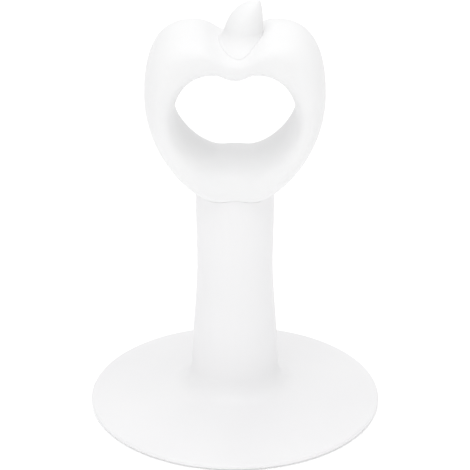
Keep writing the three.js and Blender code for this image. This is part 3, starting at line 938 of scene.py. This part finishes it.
# %% Finish the loop's two halves


def holes(name, places, radius, start, end):
    profile = [(0, start / MM), (radius, start / MM), (radius, end / MM), (0, end / MM)]
    one = turn_mesh(turned(name + "_one", profile, steps=40), "+y")
    return copies_of(name, one, places, Axis=(0, 0, 0))


head_places = [(x, 0, z) for x, y, z in cover_places]
loop_cover = cut(loop_cover, holes("head_rooms", head_places, 3.0, head_seat, HALF_DEPTH * 2))
loop_cover = cut(loop_cover, holes("shank_rooms", head_places, 1.55, 0, HALF_DEPTH))
settle(loop_cover, "corer", white_grip, "grip_white", "handle_cover")
pilots = holes("shank_pilots", head_places, 1.35, seam - 10 * MM, seam + 2 * MM)
loop_front = cut(loop_front, pilots)
stub_room_profile = [(0, -5), (7.6, -5), (7.6, 13.3), (0, 13.3)]
loop_front = cut(loop_front, turned("stub_room", stub_room_profile, base=seat, steps=40))
settle(loop_front, "corer", white_grip, "grip_white", "handle_loop")

# %% [markdown]
# ## Inside the column
#
# When the tool is lifted out, a pale plug, a seal ring, a steel tube and a blade come into view.
# The plug and the seal are turned. The plug also has a lug that runs in the slot.

# %% Turn the plug and give it its lug
spigot, body, stub, chamfer = 9.59, 12.7, 7.4, 0.5
groove_floor, groove_low, groove_high = 11.4, -6.95, -4.35
plug_points = [
    (0, -20.3), (spigot - 0.6, -20.3), (spigot, -19.7), (spigot, -10.9),
    (body - chamfer, -10.9), (body, -10.4), (body, groove_low), (groove_floor, groove_low),
    (groove_floor, groove_high), (body, groove_high), (body, -0.9), (body - chamfer, -0.4),
    (stub, -0.4), (stub, 12.2), (stub - 0.8, 13), (0, 13),
]
plug = turned("neck_plug_body", rounded(plug_points, 0.25), base=seat, steps=128)
lug_low = (-2 * MM, 9 * MM, seat - 9 * MM)
lug_high = (2 * MM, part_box("neck_plug")[1].y, seat - 1.0 * MM)
keep = [(groove_floor, groove_low), (16, groove_low), (16, groove_high), (groove_floor, groove_high)]
lug = cut(block("lug", lug_low, lug_high), turned("groove_keep", keep, base=seat, steps=96))
plug = cut(plug, lug, "UNION")
settle(plug, "corer", natural_plastic, "natural_plastic", "neck_plug")

# %% Turn the seal and the liner

drain = 3  # radius of the drain through the liner, the pad and the plate
seal_low, seal_high = (v.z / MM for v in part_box("seal_ring"))
seal_radius, seal_outer = (seal_high - seal_low) / 2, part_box("seal_ring")[1].x / MM
seal_turn = np.linspace(0, 2 * math.pi, 25)[:-1]
seal_across = seal_outer - seal_radius + seal_radius * np.cos(seal_turn)
seal_up = (seal_low + seal_high) / 2 + seal_radius * np.sin(seal_turn)
seal = turned("seal_ring_round", np.column_stack([seal_across, seal_up]), steps=128)
settle(seal, "corer", silicone, "foot_rubber", "seal_ring")

liner_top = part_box("guard_liner")[1].z / MM
flange_low = plate_top / MM
flange_high = flange_low + 1.6
liner_in, liner_out = 11.8, 12.8
liner_points = [
    (drain, flange_low), (collar, flange_low), (collar, flange_high), (liner_out, flange_high),
    (liner_out, liner_top), (liner_in, liner_top), (liner_in, flange_high), (drain, flange_high),
]
liner = turned("guard_liner_tube", rounded(liner_points, 0.3), steps=128)
settle(liner, "stand", natural_plastic, "natural_plastic", "guard_liner")

# %% [markdown]
# ## The coring tube
#
# The tube's mouth is cut into twelve sharp teeth with a bevel on the inside, so that the steel
# thins to an edge. The lathe tree draws them from one profile: its lowest points follow the
# zigzag. The window for the blade and the slot at the back, through which the core is pushed,
# are cut with blocks that have rounded corners.

# %% Make the toothed tube
tube_outer, tube_inner = 10.5, 9.7
tube_from, tube_to, tube_edge = tube_low / MM, tube_high / MM, 0.2
tube_points = [
    (tube_outer, tube_from), (tube_outer, tube_from + 4.4), (tube_outer, tube_to - tube_edge),
    (tube_outer - tube_edge, tube_to), (tube_inner + tube_edge, tube_to),
    (tube_inner, tube_to - tube_edge), (tube_inner, tube_from + 4.8),
    (tube_inner, tube_from + 1.2), (tube_outer - 0.12, tube_from),
]
tube = turned("coring_tube", tube_points, steps=240, teeth=12, tooth_depth=3.6, toothed=(0, 7, 8))
blade_low, blade_high = (v.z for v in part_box("peeler_blade"))


def rounded_window(name, half_width, low_z, high_z, y_from, y_to, radius):
    corners = []
    across, low_row, high_row = half_width - radius, low_z + radius, high_z - radius
    centres = (across, low_row), (across, high_row), (-across, high_row), (-across, low_row)
    for quarter, (x, z) in enumerate(centres):
        for turn in np.linspace(quarter - 1, quarter, 7) * math.pi / 2:
            corners.append((x + radius * math.cos(turn), z + radius * math.sin(turn)))
    count = len(corners)
    points = [(x, y_from, z) for x, z in corners] + [(x, y_to, z) for x, z in corners]
    faces = [tuple(range(count)), tuple(range(2 * count - 1, count - 1, -1))]
    faces += [(i, (i + 1) % count, count + (i + 1) % count, count + i) for i in range(count)]
    made = mesh_object(name, points, faces)
    tidy_mesh(made.data)
    return made


front_wall, back_wall = (-12 * MM, -5 * MM), (5 * MM, 12 * MM)
gap = 0.5 * MM
window_ends = blade_low - gap, blade_high + gap
tube = cut(tube, rounded_window("blade_window", 7.4 * MM, *window_ends, *front_wall, 1.2 * MM))
blade_middle = (blade_low + blade_high) / 2
slot_middle, half_slot = blade_middle - 2 * MM, 20 * MM
slot_ends = slot_middle - half_slot, slot_middle + half_slot
tube = cut(tube, rounded_window("core_slot", 4 * MM, *slot_ends, *back_wall, 3.9 * MM))
settle(tube, "corer", tube_steel, "blade_steel", "corer_tube")

# %% [markdown]
# ## The peeling blade
#
# The blade is a curved strip with a long slit. One lip of the slit is ground thin and cuts. The
# other is dished a little inwards, which sets how thick the peel is. The blade hangs on a pin at
# each end, so it can rock to follow the apple. The strip is drawn as a grid that is bent to a
# little more than the tube's radius, with both lips as part of the rule, and then the slit is cut.

# %% Bend the strip and cut its slit


BOW, THICK, BLADE_WIDTH = 10.7 * MM, 0.8 * MM, 12.4 * MM
LIP, LIP_SPREAD, LIP_RISE = 1.1 * MM, 0.9 * MM, 0.42 * MM
PLAIN_END, LIP_RUN_IN, GROUND_EDGE = 5 * MM, 3 * MM, 1.2 * MM
ROWS, COLUMNS = 60, 40


def blade_point(angle, from_end, half_angle):
    x = math.cos(angle) * BOW
    near = math.exp(-(((abs(x) - LIP) / LIP_SPREAD) ** 2)) if from_end > PLAIN_END else 0.0
    ease = min(1.0, max(0.0, (from_end - PLAIN_END) / LIP_RUN_IN))
    dish = LIP_RISE * near * ease * (-1 if x > 0 else 0.35)
    from_side = (half_angle - abs(angle + math.pi / 2)) * BOW
    edge = min(1.0, from_side / GROUND_EDGE * 0.7 + 0.3)
    return BOW + min(dish, 0), BOW - THICK * edge + dish


def blade_strip(name):
    half_angle = math.asin(BLADE_WIDTH / 2 / BOW)
    length = blade_high - blade_low
    outer, inner = [], []
    for i in range(ROWS + 1):
        z, from_end = blade_low + length * i / ROWS, min(i, ROWS - i) / ROWS * length
        for j in range(COLUMNS + 1):
            angle = -math.pi / 2 + half_angle * (2 * j / COLUMNS - 1)
            for ring, radius in zip((outer, inner), blade_point(angle, from_end, half_angle)):
                ring.append((radius * math.cos(angle), radius * math.sin(angle), z))
    across, count = COLUMNS + 1, len(outer)
    faces = []
    for low in range(0, ROWS * across, across):
        for a in range(low, low + COLUMNS):
            b, c, d = a + 1, a + across + 1, a + across
            faces += [(a, b, c, d), (count + d, count + c, count + b, count + a)]
        for a, order in ((low, 1), (low + COLUMNS, -1)):
            faces.append((a, a + across, count + a + across, count + a)[::order])
    for first, order in ((0, -1), (ROWS * across, 1)):
        for a in range(first, first + COLUMNS):
            faces.append((a, a + 1, count + a + 1, count + a)[::order])
    made = mesh_object(name, outer + inner, faces)
    tidy_mesh(made.data)
    return made


half_slit = 13 * MM
slit_ends = blade_middle - half_slit, blade_middle + half_slit
slit = rounded_window("slit", 0.9 * MM, *slit_ends, -20 * MM, 0.0, 0.85 * MM)
strip = cut(blade_strip("peeling_blade"), slit)
print("blade", round((blade_high - blade_low) / MM, 1), "mm long, bent to", BOW / MM, "mm")

# %% Add its two eyes and drill them
eye_radius, eye_length, pin_hole = 1.8, 3, 0.9


def on_pivot(name, radius, start, end, base):
    profile = [(0, start), (radius, start), (radius, end), (0, end)]
    made = turned(name, profile, base=base, steps=32)
    for v in made.data.vertices:
        v.co.y += pivot.y
    return made


for end_low in (blade_low, blade_high - eye_length * MM):
    strip = cut(strip, on_pivot("eye", eye_radius, 0, eye_length, end_low), "UNION")
strip = cut(strip, on_pivot("pin_room", pin_hole, -1, 40, blade_low))
settle(strip, "blade", blade_steel, "blade_steel", "peeler_blade")

# %% [markdown]
# ## Under the foot
#
# The base plate, the rubber ring, the ballast and the tooth pad are simple turned pieces. The
# frame already holds their true shapes, so the ones that can't be seen keep the frame's own
# meshes and only get their finishes. The plate and the ring show when the stand is turned over,
# and the pad shows down the open column, so they are turned afresh with soft edges.

# %% Turn the plate, the ring and the pad
plate_edge, plate_thick = 47.5, 1.6
plate_points = [(drain, 0), (plate_edge, 0), (plate_edge, plate_thick), (drain, plate_thick)]
plate = turned("base_plate_disc", rounded(plate_points, 0.3), base=plate_low, steps=160)
sink_profile = [(0, -0.4), (3.1, -0.4), (3.1, 0.25), (1.5, 1.7), (1.5, 2.4), (0, 2.4)]
sink = turned("screw_room", sink_profile, steps=40)
plate = cut(plate, copies_of("screw_rooms", sink, base_places, Axis=(0, 0, 0)))
settle(plate, "stand", white_stand, "stand_white", "base_plate")
band_in, band_out, band_thick = 50.5, 55.5, 1.5
ring_points = [(band_in, 0), (band_out, 0), (band_out, band_thick), (band_in, band_thick)]
foot_band = turned("foot_ring_band", rounded(ring_points, 0.35, skip=(2, 3)), steps=160)
settle(foot_band, "stand", silicone, "foot_rubber", "foot_ring")
pad_edge, chamfer = 11.4, 0.6
pad_low, pad_high = (v.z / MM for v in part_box("tooth_pad"))
pad_points = [
    (drain, pad_low), (pad_edge, pad_low), (pad_edge, pad_high - chamfer),
    (pad_edge - chamfer, pad_high), (drain, pad_high),
]
pad = turned("tooth_pad_disc", rounded(pad_points, 0.3), steps=96)
settle(pad, "stand", silicone, "foot_rubber", "tooth_pad")

# %% Dress the pieces that keep the frame's own meshes
for node, material in {
    "ballast_ring": ballast_steel,
    "retaining_dowel": screw_steel,
    "tube_rivet": tube_steel,
    "blade_bracket_lower": tube_steel,
    "blade_bracket_upper": tube_steel,
    "blade_pin_lower": screw_steel,
    "blade_pin_upper": screw_steel,
}.items():
    for material_slot in frame["nodes"][node].material_slots:
        material_slot.material = material
print("frame meshes shown:", sorted(n for n, o in frame["nodes"].items() if not o.hide_render))

# %% [markdown]
# ## Floor, light and camera
#
# White on white needs care: the edges of the tool only read if they are a little darker than the
# floor. The floor glows a little, so that it stays white. A bright white room gives most of the
# light, and a broad lamp overhead brightens the foot and the top of the loop. Two weaker lamps
# light the front and, from behind, the inside of the finger opening.

# %% Lay the floor


def build_floor():
    material, tree = empty_material("Pale floor")
    cloud = {"Value": noise(tree, object_place(tree), 3.0, 2.0), "To Min": 0.93, "To Max": 0.97}
    shade = add_node(tree, "ShaderNodeMapRange", cloud).outputs["Result"]
    channels = {"Red": shade, "Green": shade, "Blue": shade}
    tint = add_node(tree, "ShaderNodeCombineColor", channels).outputs[0]
    glow = {"Emission Color": (1, 1, 1, 1), "Emission Strength": 0.15}
    shader_inputs = {"Base Color": tint, "Roughness": 0.9, "Specular IOR Level": 0.1, **glow}
    shader = add_node(tree, "ShaderNodeBsdfPrincipled", shader_inputs)
    add_node(tree, "ShaderNodeOutputMaterial", {"Surface": shader.outputs["BSDF"]})
    reach = 6.0
    corners = [(-reach, -reach, 0), (reach, -reach, 0), (reach, reach, 0), (-reach, reach, 0)]
    made = mesh_object("pale_floor", corners, [(0, 1, 2, 3)])
    made.data.materials.append(material)
    return reach


print("floor reaches", build_floor(), "m each way")

# %% Set the lights and the surroundings


def soft_light(name, place, size, watts):
    data = bpy.data.lights.new(name, "AREA")
    data.shape = "DISK"
    data.size = size
    data.energy = watts
    made = stand_in_scene(name, data)
    made.location = place
    made.rotation_euler = (Vector(AIM) - Vector(place)).to_track_quat("-Z", "Y").to_euler()
    return made


AIM = (0, 0, 0.09)
soft_light("front_left", (-0.4, -1.2, 1.0), size=1.4, watts=2.0)
soft_light("back", (0.0, 1.3, 0.9), size=1.4, watts=1.6)
soft_light("top", (0.0, -0.2, 1.6), size=1.6, watts=8.6)
world = bpy.data.worlds.new("Pale room")
world.use_nodes = True
room_light = world.node_tree.nodes["Background"]
room_light.inputs["Color"].default_value = (1.0, 1.0, 1.0, 1)
room_light.inputs["Strength"].default_value = 0.76
bpy.context.scene.world = world
bpy.context.scene.view_settings.view_transform = "Standard"

# %% [markdown]
# The camera stands well back with a long lens, in front of the tool and above it, and looks down
# at about twenty-seven degrees. A long lens keeps the foot from looking larger than it is.

# %% Stand the camera
camera_data = bpy.data.cameras.new("product_camera")
camera_data.sensor_width = 36
camera_data.lens = 269.9
look_down = 0.465
camera = stand_in_scene("product_camera", camera_data)
camera.location = (0, -1.290, 0.724)
camera.rotation_euler = (math.pi / 2 - look_down, 0, 0)
bpy.context.scene.camera = camera
print("camera at", tuple(round(v, 3) for v in camera.location), "lens", camera_data.lens)
